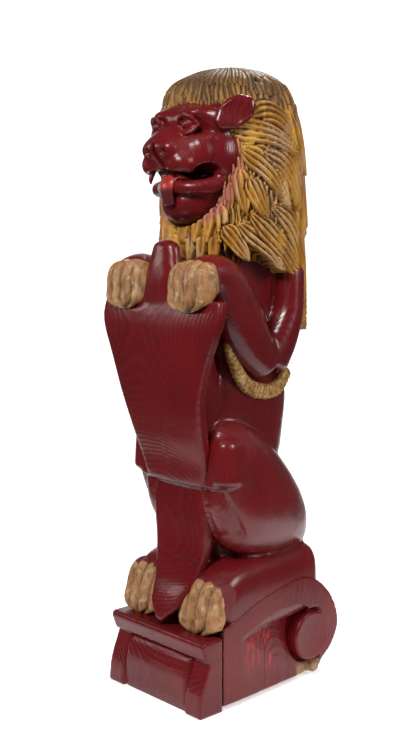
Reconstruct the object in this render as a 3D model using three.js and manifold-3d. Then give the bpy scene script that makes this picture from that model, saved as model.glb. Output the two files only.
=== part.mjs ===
// A ship's figurehead: a seated lion holding up a long shield, carved from a laminated block of pine, on a
// plinth with a moulded front and a scroll board let in on each side. Millimetres, +Z up, the lion looks
// along -Y, and the origin is the middle of the plinth's underside.
import * as THREE from 'three';
import { mergeVertices } from 'three/addons/utils/BufferGeometryUtils.js';
import Module from 'manifold-3d';

const wasm = await Module();
wasm.setup();

// Driving sizes
const LION_HEIGHT = 1410; // from the plinth's top to the crown of the mane
const PLINTH_WIDTH = 357; // across both scroll boards
const PLINTH_TOP = 190; // height of the ledge that the lion sits on
const PLINTH_FRONT = 247; // from the origin to the front of the nosing
const FRONT_BLOCK_BACK = 178; // from the origin to the joint behind the moulded front
const NOSING_HEIGHT = 50; // the rounded edge along the top of the front
const NOSING_DEPTH = 26; // it stands out this far over the face below it
const NOSING_ROUND = 14; // rounding of its upper edge
const SWELL = 10; // the face below swells out this far in front of the nosing
const FOOT_ROUND = 10; // rounding of the face's lower edge
const NECK_DROP = 14; // the hollow under the nosing leans out by this much before the face swells
const BORDER_WIDTH = 58; // of the raised border at each end of the front
const PANEL_SET_BACK = 12; // the cushion lies this far behind its borders
const CORE_BACK = 215; // from the origin to the back of the plinth's core
const BOARD_THICKNESS = 62; // of each scroll board
const BOARD_LIFT = 12; // the scroll boards' lower edge is this far off the floor
const BOARD_FRONT_TOP = 208; // height of a scroll board where it meets the moulded front
const EYE_PLACE = [156, 115]; // the volute's eye, back from the origin and up
const EYE_RADIUS = 67;
const SCOOP_FRONT = -115; // where the hollow behind the scroll's band starts
const SCOOP_TOP = 170; // height of the hollow there
const SCOOP_DEPTH = 52; // of that hollow, at the eye
const SCOOP_FOOT = 0.25; // share of that depth along the board's lower edge
const JOINT_GAP = 0.3; // left between two pieces that meet
const SMALLEST_FACET = 3.2; // carving finer than this is left out of the lion

const cm = LION_HEIGHT / 141; // the pose is laid out in centimetres on a lion 141 cm tall

// A closed mesh's geometry as a solid, and a solid as a geometry with flat faces
function solidOf(geometry) {
  const bare = geometry.clone();
  bare.deleteAttribute('normal');
  bare.deleteAttribute('uv');
  const merged = mergeVertices(bare, 1e-4);
  return new wasm.Manifold(
    new wasm.Mesh({
      numProp: 3,
      vertProperties: new Float32Array(merged.attributes.position.array),
      triVerts: new Uint32Array(merged.index.array),
    }),
  );
}

function geometryOf(solid) {
  const { vertProperties, triVerts } = solid.getMesh();
  const geometry = new THREE.BufferGeometry();
  geometry.setAttribute('position', new THREE.BufferAttribute(new Float32Array(vertProperties), 3));
  geometry.setIndex(new THREE.BufferAttribute(new Uint32Array(triVerts), 1));
  geometry.computeVertexNormals();
  return geometry;
}

const join = (solids) => solids.reduce((whole, next) => whole.add(next));

// The wood is solid: spaces shut in between the forms are filled by keeping only the outer skin
const outerSkin = (solid) => solid.decompose().reduce((a, b) => (a.volume() > b.volume() ? a : b));

// A closed skin over rings of points that all have the same count, with a pole at each end
function skin(rings, startPole, endPole) {
  const count = rings[0].length;
  const points = [startPole, ...rings.flat(), endPole];
  const last = points.length - 1;
  const faces = [];
  const at = (ring, i) => 1 + ring * count + (i % count);
  for (let i = 0; i < count; i++) {
    faces.push(0, at(0, i + 1), at(0, i));
    for (let ring = 0; ring < rings.length - 1; ring++) {
      faces.push(at(ring, i), at(ring, i + 1), at(ring + 1, i + 1));
      faces.push(at(ring, i), at(ring + 1, i + 1), at(ring + 1, i));
    }
    faces.push(last, at(rings.length - 1, i), at(rings.length - 1, i + 1));
  }
  const coordinates = points.flatMap((p) => [p.x, p.y, p.z]);
  const geometry = new THREE.BufferGeometry();
  geometry.setAttribute('position', new THREE.Float32BufferAttribute(coordinates, 3));
  geometry.setIndex(faces);
  return geometry;
}

// A superellipse's point at an angle: 2 is an ellipse, and more is squarer
function squircle(angle, square) {
  const round = (value) => Math.sign(value) * Math.abs(value) ** (2 / square);
  return [round(Math.cos(angle)), round(Math.sin(angle))];
}

// A limb is stations along a path: x, y, z, the half width along the side, the half width across it and
// squareness
function limb(stations, { side = [1, 0, 0], sides = 12, steps = 2, dome = [0.5, 0.5] } = {}) {
  const vector = (values) => new THREE.Vector3(...values);
  const path = new THREE.CatmullRomCurve3(stations.map((s) => vector(s.slice(0, 3)).multiplyScalar(cm)));
  const sizes = new THREE.CatmullRomCurve3(stations.map((s) => vector([s[3], s[4], s[5] ?? 2])));
  const count = (stations.length - 1) * steps;
  const rings = [];
  const poles = [];
  const ring = (t, shrink, push) => {
    const along = path.getTangent(t);
    const across = vector(side).addScaledVector(along, -along.dot(vector(side))).normalize();
    const out = along.clone().cross(across);
    const [halfSide, halfOut, square] = sizes.getPoint(t).toArray();
    const centre = path.getPoint(t).addScaledVector(along, push * Math.min(halfSide, halfOut) * cm);
    if (shrink === 0) return centre;
    return Array.from({ length: sides }, (_, i) => {
      const [a, b] = squircle((2 * Math.PI * (i + 0.5)) / sides, square);
      return centre
        .clone()
        .addScaledVector(across, a * halfSide * shrink * cm)
        .addScaledVector(out, b * halfOut * shrink * cm);
    });
  };
  poles.push(ring(0, 0, -dome[0]));
  if (dome[0] > 0) rings.push(ring(0, 0.7, -0.72 * dome[0]));
  for (let i = 0; i <= count; i++) rings.push(ring(i / count, 1, 0));
  if (dome[1] > 0) rings.push(ring(1, 0.7, 0.72 * dome[1]));
  poles.push(ring(1, 0, dome[1]));
  return solidOf(skin(rings, ...poles));
}

const mirrored = (stations) => stations.map(([x, ...rest]) => [-x, ...rest]);

// The same limb on the lion's left and right
function pair(stations, options = {}) {
  const [across, ...rest] = options.side ?? [1, 0, 0];
  return [limb(stations, options), limb(mirrored(stations), { ...options, side: [-across, ...rest] })];
}

// A ball stretched along the axes, given by its centre and its three half widths
function lump([x, y, z], [rx, ry, rz], detail = 10) {
  const geometry = new THREE.SphereGeometry(1, detail, Math.ceil(detail * 0.6));
  geometry.rotateX(Math.PI / 2);
  geometry.scale(rx * cm, ry * cm, rz * cm);
  geometry.translate(x * cm, y * cm, z * cm);
  return solidOf(geometry);
}

// One smooth skin over several stretched balls, each a centre and three half widths, seen from a middle point
const BLEND = 0.8; // how softly one ball runs into the next
function blend(middle, balls, hollows = [], detail = 24) {
  const depth = (p, [[x, y, z], [rx, ry, rz]]) => {
    const scaled = Math.hypot((p.x - x) / rx, (p.y - y) / ry, (p.z - z) / rz);
    return (scaled - 1) * Math.min(rx, ry, rz);
  };
  const nearness = (p, ball) => Math.exp(-depth(p, ball) / BLEND);
  const soft = (p, list) => -BLEND * Math.log(list.reduce((sum, ball) => sum + nearness(p, ball), 0));
  const outside = (p) => (hollows.length ? Math.max(soft(p, balls), -soft(p, hollows)) : soft(p, balls)) > 0;
  const geometry = new THREE.SphereGeometry(1, detail, Math.ceil(detail * 0.75));
  geometry.rotateX(-Math.PI / 2);
  const position = geometry.attributes.position;
  const ray = new THREE.Vector3();
  const place = new THREE.Vector3();
  for (let i = 0; i < position.count; i++) {
    ray.fromBufferAttribute(position, i);
    let near = 0;
    let far = 30;
    while (far > near + 0.01) {
      const half = (near + far) / 2;
      if (outside(place.set(...middle).addScaledVector(ray, half))) far = half;
      else near = half;
    }
    place.set(...middle).addScaledVector(ray, near).multiplyScalar(cm);
    position.setXYZ(i, place.x, place.y, place.z);
  }
  return solidOf(geometry);
}

const bothSides = ([[x, ...centre], radii]) => [[[x, ...centre], radii], [[-x, ...centre], radii]];

const lumps = ([x, ...rest], radii, detail) => [x, -x].map((at) => lump([at, ...rest], radii, detail));

// Trunk, from the seat to the shoulders, and the belly that joins it to the shield's back
const trunk = [
  limb(
    [
      [0, 4, -2, 10.5, 13, 2.8],
      [0, 4, 12, 10.5, 13, 2.8],
      [0, 2.4, 28, 11, 13.6, 2.8],
      [0, -2.4, 42, 13, 15.6, 3],
      [0, -1.2, 58, 13.6, 15.8, 3],
      [0, 0.4, 66, 12.8, 14.8, 2.8],
      [0, 2.8, 76, 11.8, 14.4, 2.6],
      [0, 3.2, 98, 12.4, 14.4, 2.4],
    ],
    { sides: 16, steps: 1, dome: [0, 0] },
  ),
  limb(
    [
      [0, -13.0, 10, 5.5, 4, 3],
      [0, -11.0, 30, 8.4, 4, 3],
      [0, -12.0, 42, 10.4, 4.8, 3],
      [0, -14.8, 56, 11.6, 6, 3],
      [0, -16.8, 68, 11, 6, 3],
    ],
    { sides: 14, steps: 1, dome: [0.2, 0.5] },
  ),
];

// Long curved shield: the half width, the distance forward of its face, and the height
const SHIELD_FACE = [
  [1.6, 23.6, 2.2],
  [4.6, 22.4, 5],
  [5.8, 20.8, 8],
  [7.6, 18.4, 12],
  [9.2, 16.6, 20],
  [10.0, 16.6, 30],
  [10.9, 17.4, 37],
  [12.2, 19.2, 43],
  [13.2, 21.4, 50],
  [14.8, 23.6, 59],
  [17.2, 24.3, 67],
  [20.6, 24.3, 75],
  [22.0, 23.8, 79],
  [21.6, 22.8, 83.4],
];
const SHIELD_THICKNESS = 3.4;
const SHIELD_CROWN = 0.05; // how much the face swells, as a share of its half width

function shield() {
  const rings = SHIELD_FACE.map(([halfWidth, forward, height]) => {
    const crown = halfWidth * SHIELD_CROWN;
    const swell = (share) => [share * halfWidth, -forward - crown * (1 - share * share)];
    const back = [1, -1].map((share) => [share * halfWidth, SHIELD_THICKNESS - forward]);
    const outline = [...back, ...[-1, -0.5, 0, 0.5, 1].map(swell)];
    return outline.map(([x, y]) => new THREE.Vector3(x, y, height).multiplyScalar(cm));
  });
  const tip = new THREE.Vector3(0, -23.6, 0).multiplyScalar(cm);
  const top = new THREE.Vector3(0, -20.5, SHIELD_FACE.at(-1)[2] + 0.6).multiplyScalar(cm);
  const peak = limb(
    [
      [0, -21.6, 80, 7.5, 2.2, 3],
      [0, -21.3, 88, 5.8, 2, 3],
      [0, -20.6, 95.6, 3.2, 1.8, 2.6],
    ],
    { sides: 12, steps: 2, dome: [0, 0.9] },
  );
  return solidOf(skin(rings, tip, top)).add(peak);
}

// Forelegs: the upper arm, and the forearm from the elbow to the wrist on the shield's edge
const forelegs = [
  ...pair(
    [
      [13.8, 9.4, 90, 3.8, 3.8],
      [14.2, 8.4, 80, 4.1, 4.0],
      [14.0, 5.8, 73, 4.3, 4.8],
      [13.6, 2.8, 67.4, 4.2, 5.2],
    ],
    { sides: 10, steps: 1 },
  ),
  ...pair(
    [
      [13.6, 0.4, 67.2, 4.3, 5.2],
      [13.9, -4.4, 71.6, 4.5, 6.1],
      [13.6, -9.2, 78.4, 4.4, 6.5],
      [13.2, -13.4, 84.4, 4.2, 5.8],
      [12.4, -17.5, 87.8, 4.6, 4.7],
      [12, -20.6, 88.6, 6, 4.2],
    ],
    { sides: 12, steps: 1 },
  ),
];

// A paw's toes are spread around its middle, and the outer ones stand back
const TOE_COUNT = 4;
function toes(middle, spacing, spreadBack, stations) {
  return Array.from({ length: TOE_COUNT }, (_, i) => {
    const place = i - (TOE_COUNT - 1) / 2;
    const back = spreadBack * place * place;
    return limb(
      stations.map(([y, z, across, out]) => [middle + place * spacing, y + back, z, across, out]),
      { sides: 7, steps: 1, dome: [0.5, 0.7] },
    );
  });
}

// A forepaw is a rounded block with four toes that hang over the shield's edge
function forepaw(side) {
  const palm = limb(
    [
      [side * 11.9, -18.5, 88.4, 7.2, 5.2, 2.8],
      [side * 11.9, -22.8, 88.4, 7.6, 5.4, 2.8],
    ],
    { sides: 14, steps: 1, dome: [0.4, 0.35] },
  );
  const overShield = [
    [-22.6, 91.2, 2.1, 2.0],
    [-25.0, 88.0, 2.2, 2.2],
    [-25.2, 84.4, 2.0, 2.0],
    [-24.9, 81.6, 1.1, 1.2],
  ];
  return join([palm, ...toes(side * 11.9, 3.9, 0.3, overShield)]);
}

// Haunches: the thigh from the rump to the knee beside the shield. The knees are cut flat in front, and their
// inner sides end behind the shield's face
const KNEE_FRONT = 18;
const SHIELD_CLEARANCE = { halfWidth: 11.3, forward: 15.8 };

function spaceInFront(halfWidth, forward) {
  const depth = 40;
  const geometry = new THREE.BoxGeometry(2 * halfWidth * cm, depth * cm, 2 * depth * cm);
  geometry.translate(0, -(forward + depth / 2) * cm, depth * cm);
  return solidOf(geometry);
}

const thighs = pair(
  [
    [9.0, 9.4, 18.6, 8.6, 12.2],
    [9.4, 4.0, 27.0, 9.0, 14.8],
    [9.7, -2.0, 34.0, 9.0, 15.4],
    [10.6, -9.2, 41.0, 8.4, 13.8],
    [12.4, -15.6, 46.4, 7.2, 9.6],
  ],
  { sides: 14, steps: 2, dome: [0.6, 0.7] },
);
const haunches = join(thighs)
  .subtract(spaceInFront(2 * SHIELD_CLEARANCE.halfWidth, KNEE_FRONT))
  .subtract(spaceInFront(SHIELD_CLEARANCE.halfWidth, SHIELD_CLEARANCE.forward));

// A hind foot is long and square-sided, and its toes reach over the plinth's front edge
function hindFoot(side) {
  const foot = limb(
    [
      [side * 9.8, 17.2, 7.8, 7.4, 9.4, 3.6],
      [side * 9.9, 8.0, 7.4, 7.8, 9.6, 3.6],
      [side * 10.0, -2.0, 7.0, 7.8, 9.8, 3.6],
      [side * 10.1, -10.0, 6.4, 7.7, 9.6, 3.4],
      [side * 10.3, -15.0, 5.2, 7.4, 7.8, 3],
    ],
    { sides: 16, steps: 1, dome: [0.25, 0.3] },
  );
  const onPlinth = [
    [-13.6, 11.6, 1.9, 2.6],
    [-17.2, 10.2, 2.0, 2.7],
    [-19.6, 5.4, 2.0, 2.5],
    [-20.2, 1.7, 1.8, 1.9],
  ];
  return join([foot, ...toes(side * 10.5, 3.6, 0.35, onPlinth)]);
}

// Head: cranium, brows, cheeks, muzzle with its two pads, the bridge and the flat nose
const head = blend(
  [0, -9.5, 120.5],
  [
    [[0, -6.2, 121.5], [12, 10.6, 10.4]],
    [[0, -13.6, 119.4], [8.9, 10.2, 5.2]],
    [[0, -19.4, 122.2], [3.2, 5, 2.3]],
    [[0, -23.0, 120.4], [3.4, 2.6, 1.9]],
    ...bothSides([[4.5, -20.4, 117.4], [3.9, 3.9, 3.4]]),
    ...bothSides([[8.8, -11.8, 119.8], [4.0, 6.6, 4.2]]),
    ...bothSides([[5.4, -14.4, 128.4], [4.4, 3.6, 2.0]]),
  ],
  bothSides([[6.2, -20.2, 125.6], [2.3, 2.2, 2.0]]),
  32,
);
const eyes = lumps([6.1, -17.0, 125.6], [2.0, 2.2, 1.9], 10);

// Lower jaw: the chin and throat, and a thick lip that runs round from one corner of the mouth to the other
const jaw = blend(
  [0, -8, 109],
  [
    [[0, -13.4, 106.4], [6.7, 5.9, 4.9]],
    [[0, -9.4, 110.2], [9.2, 8.8, 4.4]],
    [[0, -3, 110.0], [11.6, 8.4, 12.0]],
  ],
);
const lip = pair(
  [
    [9.0, -10.4, 117.0, 1.4, 1.4],
    [9.8, -8.0, 114.6, 1.8, 1.8],
    [9.2, -10.6, 111.6, 1.9, 1.9],
    [7.6, -15.4, 110.6, 1.9, 1.9],
    [3.9, -18.4, 111.0, 1.8, 1.8],
    [-0.5, -19.2, 111.2, 1.8, 1.8],
  ],
  { side: [0, 0, 1], sides: 8, steps: 1 },
);
const mouth = lump([0, -15.6, 114.2], [8.2, 9.6, 2.0], 14);
const tongue = limb(
  [
    [0, -12.0, 112.8, 2.6, 1.0],
    [0, -18.0, 114.0, 2.5, 1.0],
    [0, -20.8, 112.8, 2.2, 0.9],
    [0, -21.6, 110.0, 2.0, 0.9],
    [0, -20.9, 107.0, 1.6, 0.8],
  ],
  { sides: 8, steps: 1 },
);
const fang = limb(
  [
    [-4.6, -20.8, 114.6, 0.8, 0.8],
    [-4.6, -21.6, 112.4, 0.6, 0.6],
    [-4.4, -21.8, 110.8, 0.25, 0.25],
  ],
  { sides: 6, steps: 1 },
);

// An ear is a leaf laid back against the mane, hollowed on its outer side
const earOptions = { side: [0.8, -0.6, 0], sides: 10, steps: 1 };
const earLeaf = [
  [11.4, -13.4, 125.4, 1.5, 2.2],
  [13.4, -11.2, 127.2, 1.9, 3.1],
  [15.4, -8.6, 129.6, 1.8, 3.1],
  [16.6, -6.4, 131.4, 0.9, 1.6],
];
const outward = ([x, y, z, thick, wide]) => [x + 1.5, y - 1.1, z + 0.3, thick * 0.7, wide * 0.6];
const earHollows = pair(earLeaf.slice(0, 3).map(outward), earOptions);
const ears = pair(earLeaf, earOptions).map((leaf, i) => leaf.subtract(earHollows[i]));

// Mane: height, its middle, and its half widths to the side and to the front and back, down from the crown
const MANE = [
  [141, 1.2, 0.5, 0.5],
  [140.6, 1.2, 6.4, 6.2],
  [139.2, 1.0, 10.4, 10.0],
  [137.0, 0.8, 13.2, 12.8],
  [134.4, 0.7, 15.0, 14.6],
  [131.0, 1.0, 16.4, 15.8],
  [126.0, 1.6, 16.9, 16.4],
  [116, 2.0, 17.2, 16.6],
  [104, 2.2, 17.2, 16.8],
  [94, 2.4, 17.0, 16.8],
  [86, 2.8, 16.6, 16.8],
];
const MANE_SQUARENESS = 2.5;
const MANE_HEM_START = 121; // the mane's length differs from front to back below this height
const MANE_HEM_FRONT = 93.5;
const MANE_HEM_BACK = 74.5;
const MANE_COLUMNS = 60;
const MANE_ROWS = 21;
const LOCK_TIERS = [0, 0.24, 0.48, 0.74, 1.04];
const LOCKS_PER_SIDE = 7;
const LOCK_OVERLAP = 0.07; // how far a tier's tips lie over the next one
const LOCK_SWEEP = 1.6; // locks that the hair drifts towards the back on its way down
const LOCK_DEPTH = 1.7;

// How far the hair stands out, from 0 to 1, at a share of the way round to the back and one of the way down
function lockRelief(around, down) {
  let height = 0;
  for (let tier = 0; tier < LOCK_TIERS.length - 1; tier++) {
    const start = LOCK_TIERS[tier];
    const along = (down - start) / (LOCK_TIERS[tier + 1] - start + LOCK_OVERLAP);
    if (along < 0 || along > 1) continue;
    const column = around * LOCKS_PER_SIDE - LOCK_SWEEP * down + 0.5 * (tier % 2);
    const offset = Math.abs(column - Math.floor(column) - 0.5) * 2;
    const reach = Math.sqrt(1 - along ** 4);
    if (offset > reach) continue;
    height = Math.max(height, (0.2 + 0.8 * along) * (1 - 0.8 * (offset / reach) ** 2));
  }
  return height;
}

function mane() {
  const curve = (pick) => new THREE.CatmullRomCurve3(MANE.map((row) => new THREE.Vector3(...pick(row))));
  const sizes = curve(([, , rx, ry]) => [rx, ry, 0]);
  const places = curve(([z, y]) => [0, y, z]);
  const hemFrom = MANE.at(-1)[0];
  const rings = [];
  for (let row = 0; row <= MANE_ROWS; row++) {
    const down = row / MANE_ROWS;
    const t = down ** 0.8;
    const { x: rx, y: ry } = sizes.getPoint(t);
    const { y, z: height } = places.getPoint(t);
    const share = Math.max(0, (MANE_HEM_START - height) / (MANE_HEM_START - hemFrom));
    rings.push(
      Array.from({ length: MANE_COLUMNS }, (_, i) => {
        const angle = (-2 * Math.PI * i) / MANE_COLUMNS - Math.PI / 2;
        const [a, b] = squircle(angle, MANE_SQUARENESS);
        const toBack = (b + 1) / 2;
        const hem = MANE_HEM_FRONT + (MANE_HEM_BACK - MANE_HEM_FRONT) * toBack ** 1.5;
        const z = height > MANE_HEM_START ? height : MANE_HEM_START + (hem - MANE_HEM_START) * share;
        const around = 1 - Math.abs(i / MANE_COLUMNS - 0.5) * 2;
        const out = 1 + (LOCK_DEPTH * (lockRelief(around, down) - 0.5)) / 17;
        return new THREE.Vector3(a * rx * out, y + b * ry * out, z).multiplyScalar(cm);
      }),
    );
  }
  const crown = new THREE.Vector3(0, MANE[0][1], MANE[0][0]).multiplyScalar(cm);
  return solidOf(skin(rings, crown, new THREE.Vector3(0, 2, 95).multiplyScalar(cm)));
}

// Fringe of fur carved on the flank under each forearm
const fringes = pair(
  [
    [13.0, -13.4, 74.4, 1.0, 1.0],
    [13.4, -10.6, 67.6, 1.2, 1.7],
    [13.6, -6.4, 62.4, 1.3, 2.1],
    [13.6, -0.8, 60.0, 1.3, 2.1],
    [13.5, 5.1, 60.8, 1.3, 2.1],
    [12.6, 9.6, 64.4, 1.2, 1.6],
  ],
  { sides: 6, steps: 1 },
);

// An outline in the Y and Z plane, extruded along X from one side to the other
function slab(shape, from, to, curveSegments = 2) {
  const geometry = new THREE.ExtrudeGeometry(shape, { depth: to - from, bevelEnabled: false, curveSegments });
  geometry.rotateX(Math.PI / 2);
  geometry.rotateZ(Math.PI / 2);
  geometry.translate(from, 0, 0);
  return geometry;
}

const halfWidth = PLINTH_WIDTH / 2;
const coreHalf = halfWidth - BOARD_THICKNESS;

// Section of the plinth's moulded front, from its back joint over the nosing and down the swelling face
function frontSection(setBack) {
  const edge = -PLINTH_FRONT;
  const neck = edge + NOSING_DEPTH + setBack;
  const underside = PLINTH_TOP - NOSING_HEIGHT;
  const shape = new THREE.Shape();
  shape.moveTo(-FRONT_BLOCK_BACK, 0);
  shape.lineTo(-FRONT_BLOCK_BACK, PLINTH_TOP);
  shape.lineTo(edge + NOSING_ROUND, PLINTH_TOP);
  shape.quadraticCurveTo(edge, PLINTH_TOP, edge, PLINTH_TOP - NOSING_ROUND);
  shape.lineTo(edge + NOSING_ROUND, underside);
  shape.lineTo(neck, underside);
  const belly = edge - SWELL + setBack;
  shape.bezierCurveTo(neck - NECK_DROP, underside * 0.7, belly, underside * 0.5, belly, FOOT_ROUND);
  shape.quadraticCurveTo(belly, 0, belly + FOOT_ROUND / 2, 0);
  shape.closePath();
  return shape;
}

function plinth() {
  const round = PLINTH_TOP / 2;
  const core = new THREE.Shape();
  core.moveTo(-FRONT_BLOCK_BACK - PANEL_SET_BACK, 0);
  core.lineTo(-FRONT_BLOCK_BACK - PANEL_SET_BACK, PLINTH_TOP);
  core.lineTo(CORE_BACK - round, PLINTH_TOP);
  core.absarc(CORE_BACK - round, round, round, Math.PI / 2, -Math.PI / 2, true);
  core.closePath();
  const panelHalf = halfWidth - BORDER_WIDTH;
  return join([
    solidOf(slab(frontSection(0), -halfWidth, -panelHalf, 6)),
    solidOf(slab(frontSection(PANEL_SET_BACK), -panelHalf - PANEL_SET_BACK, panelHalf + PANEL_SET_BACK, 6)),
    solidOf(slab(frontSection(0), panelHalf, halfWidth, 6)),
    solidOf(slab(core, -coreHalf + JOINT_GAP, coreHalf - JOINT_GAP, 12)),
  ]);
}

// Scroll board: the outline sweeps up from the moulded front and round a volute, as distances along and up
const SCROLL_EDGE = [
  [-112, 236], [-54, 259], [10, 274], [67, 284], [110, 285], [152, 275], [197, 247],
  [233, 205], [256, 153], [254, 112], [235, 76], [214, 57], [190, 38], [172, BOARD_LIFT], [140, BOARD_LIFT],
];
const BAND_INNER_EDGE = [[-38, 197], [11, 209], [68, 213], [111, 209], [138, 196], [150, 180]];
const vectors = (points) => points.map(([y, z]) => new THREE.Vector2(y, z));

// The outline may be grown, for the pocket that takes the board
function scrollOutline(grow = 0) {
  const front = -FRONT_BLOCK_BACK + JOINT_GAP - grow;
  const shape = new THREE.Shape();
  shape.moveTo(front, BOARD_LIFT - grow);
  shape.lineTo(front, BOARD_FRONT_TOP + grow);
  const away = ([y, z]) => {
    const out = new THREE.Vector2(y - EYE_PLACE[0], z - EYE_PLACE[1] - 10).setLength(grow);
    return [y + out.x, z + out.y];
  };
  shape.splineThru(vectors(SCROLL_EDGE.map(grow > 0 ? away : (point) => point)));
  shape.lineTo(90, BOARD_LIFT - grow);
  shape.closePath();
  return shape;
}

// The side is scooped out behind the band, deeper and deeper towards the volute's eye
function scoop() {
  const shape = new THREE.Shape();
  shape.moveTo(EYE_PLACE[0], -BOARD_LIFT);
  shape.lineTo(SCOOP_FRONT, -BOARD_LIFT);
  shape.lineTo(SCOOP_FRONT, SCOOP_TOP);
  shape.splineThru(vectors(BAND_INNER_EDGE));
  shape.lineTo(...EYE_PLACE);
  shape.closePath();
  const geometry = slab(shape, coreHalf, halfWidth + BOARD_LIFT);
  const position = geometry.attributes.position;
  for (let i = 0; i < position.count; i++) {
    if (position.getX(i) > halfWidth) continue;
    const run = (position.getY(i) - SCOOP_FRONT) / (EYE_PLACE[0] - SCOOP_FRONT);
    const rise = Math.min(1, Math.max(0, position.getZ(i) / EYE_PLACE[1]));
    position.setX(i, halfWidth - SCOOP_DEPTH * run * (SCOOP_FOOT + (1 - SCOOP_FOOT) * rise));
  }
  return solidOf(geometry);
}

function scrollBoard(side) {
  const eye = new THREE.CylinderGeometry(EYE_RADIUS, EYE_RADIUS, BOARD_THICKNESS, 28);
  eye.rotateZ(Math.PI / 2);
  eye.translate((coreHalf + halfWidth) / 2, ...EYE_PLACE);
  const blank = solidOf(slab(scrollOutline(), coreHalf, halfWidth));
  const board = blank.subtract(scoop()).add(solidOf(eye));
  return side > 0 ? board : board.scale([-1, 1, 1]);
}

// The lion is trimmed flat where it sits on the plinth, and cut away for the scroll boards beside its feet
function lion() {
  const carved = join([
    ...trunk,
    shield(),
    ...forelegs,
    ...[1, -1].flatMap((side) => [forepaw(side), hindFoot(side)]),
    haunches,
    head.add(jaw).subtract(mouth),
    ...eyes,
    ...lip,
    tongue,
    fang,
    ...ears,
    mane(),
    ...fringes,
  ]);
  const reach = 2 * PLINTH_WIDTH;
  const below = new THREE.BoxGeometry(reach, reach, PLINTH_TOP);
  below.translate(0, 0, PLINTH_TOP / 2 + JOINT_GAP);
  const placed = carved.simplify(SMALLEST_FACET).translate([0, 0, PLINTH_TOP]).subtract(solidOf(below));
  const fitted = [1, -1].reduce((cut, side) => {
    const pocket = solidOf(slab(scrollOutline(JOINT_GAP), coreHalf - JOINT_GAP, halfWidth + BOARD_THICKNESS));
    return cut.subtract(side > 0 ? pocket : pocket.scale([-1, 1, 1]));
  }, placed);
  return outerSkin(fitted);
}

const paint = { lion: 0x5e1318, plinth: 0x5a1a20, left_scroll_board: 0x5a1a20, right_scroll_board: 0x5a1a20 };
const solids = {
  lion: lion(),
  plinth: plinth(),
  left_scroll_board: scrollBoard(1),
  right_scroll_board: scrollBoard(-1),
};

const figurehead = new THREE.Group();
for (const [name, solid] of Object.entries(solids)) {
  const material = new THREE.MeshStandardMaterial({ color: paint[name], roughness: 0.35, metalness: 0 });
  const mesh = new THREE.Mesh(geometryOf(solid), material);
  mesh.name = name;
  figurehead.add(mesh);
}

export default figurehead;
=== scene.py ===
import math
import bmesh
import bpy
import numpy as np
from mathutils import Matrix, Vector


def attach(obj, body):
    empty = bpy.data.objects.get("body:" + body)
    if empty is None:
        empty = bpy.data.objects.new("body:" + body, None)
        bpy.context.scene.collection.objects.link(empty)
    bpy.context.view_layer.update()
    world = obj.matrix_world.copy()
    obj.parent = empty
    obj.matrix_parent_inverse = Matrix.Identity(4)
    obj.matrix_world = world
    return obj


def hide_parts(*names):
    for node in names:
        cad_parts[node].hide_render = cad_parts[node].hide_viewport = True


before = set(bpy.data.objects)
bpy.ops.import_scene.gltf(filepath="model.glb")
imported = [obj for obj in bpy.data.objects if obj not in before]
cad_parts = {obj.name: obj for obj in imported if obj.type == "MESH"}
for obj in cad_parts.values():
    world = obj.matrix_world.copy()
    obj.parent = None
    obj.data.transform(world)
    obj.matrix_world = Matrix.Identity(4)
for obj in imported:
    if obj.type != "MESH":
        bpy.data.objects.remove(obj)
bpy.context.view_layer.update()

# The studio has a white paper sweep under and behind the figure, four soft boxes round it, and the camera at
# the photo's place: 2.9 m off, at chest height, on the lion's left front.
scene = bpy.context.scene
scene.view_settings.view_transform = "Standard"

CAMERA_TURN = 47.3
CAMERA_DIP = 6.64
camera = bpy.data.objects.new("camera", bpy.data.cameras.new("camera"))
scene.collection.objects.link(camera)
camera.location = (2.0808, -2.0114, 1.1677)
camera.rotation_euler = (math.radians(90 - CAMERA_DIP), 0, math.radians(CAMERA_TURN))
camera.data.lens = 54.05
scene.camera = camera


def softbox(name, place, aim, size, power):
    light = bpy.data.lights.new(name, "AREA")
    light.shape = "RECTANGLE"
    light.size, light.size_y = size
    light.energy = power
    box = bpy.data.objects.new(name, light)
    scene.collection.objects.link(box)
    box.location = place
    box.rotation_euler = (Vector(aim) - Vector(place)).to_track_quat("-Z", "Y").to_euler()


softbox("key_box", (0.9, -2.6, 3.2), (0, 0, 1.0), (1.2, 0.8), 115)
softbox("side_box", (2.9, 1.0, 2.4), (0, 0, 0.9), (0.7, 1.4), 60)
softbox("top_box", (-0.7, 1.5, 3.2), (0, 0, 0.8), (0.9, 0.6), 42)
softbox("right_box", (-1.9, -1.8, 1.8), (0, 0, 1.0), (0.9, 0.5), 9)

world = bpy.data.worlds.new("studio")
scene.world = world
world.use_nodes = True
surround = world.node_tree.nodes["Background"]
surround.inputs["Color"].default_value = (1, 1, 1, 1)
surround.inputs["Strength"].default_value = 0.1


class Value:
    """A shader socket that can be added, subtracted, scaled and turned into a share from 0 to 1."""

    def __init__(self, net, socket):
        self.net = net
        self.socket = socket

    def math(self, operation, *others):
        return self.net.make("ShaderNodeMath", {"operation": operation}, [self, *others])

    def __add__(self, other):
        return self.math("ADD", other)

    def __sub__(self, other):
        return self.math("SUBTRACT", other)

    def __mul__(self, other):
        return self.math("MULTIPLY", other)

    def __rsub__(self, other):
        return self.net.make("ShaderNodeMath", {"operation": "SUBTRACT"}, [other, self])

    __radd__ = __add__

    def span(self, low, high, bottom=0.0, top=1.0):
        settings = {"interpolation_type": "SMOOTHSTEP"}
        names = {"Value": self, "From Min": low, "From Max": high, "To Min": bottom, "To Max": top}
        return self.net.make("ShaderNodeMapRange", settings, names)

    def fall(self, low, high):
        return self.span(low, high, 1.0, 0.0)

    def between(self, start, stop, fade):
        return self.span(start, start + fade) * self.fall(stop - fade, stop)


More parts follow.
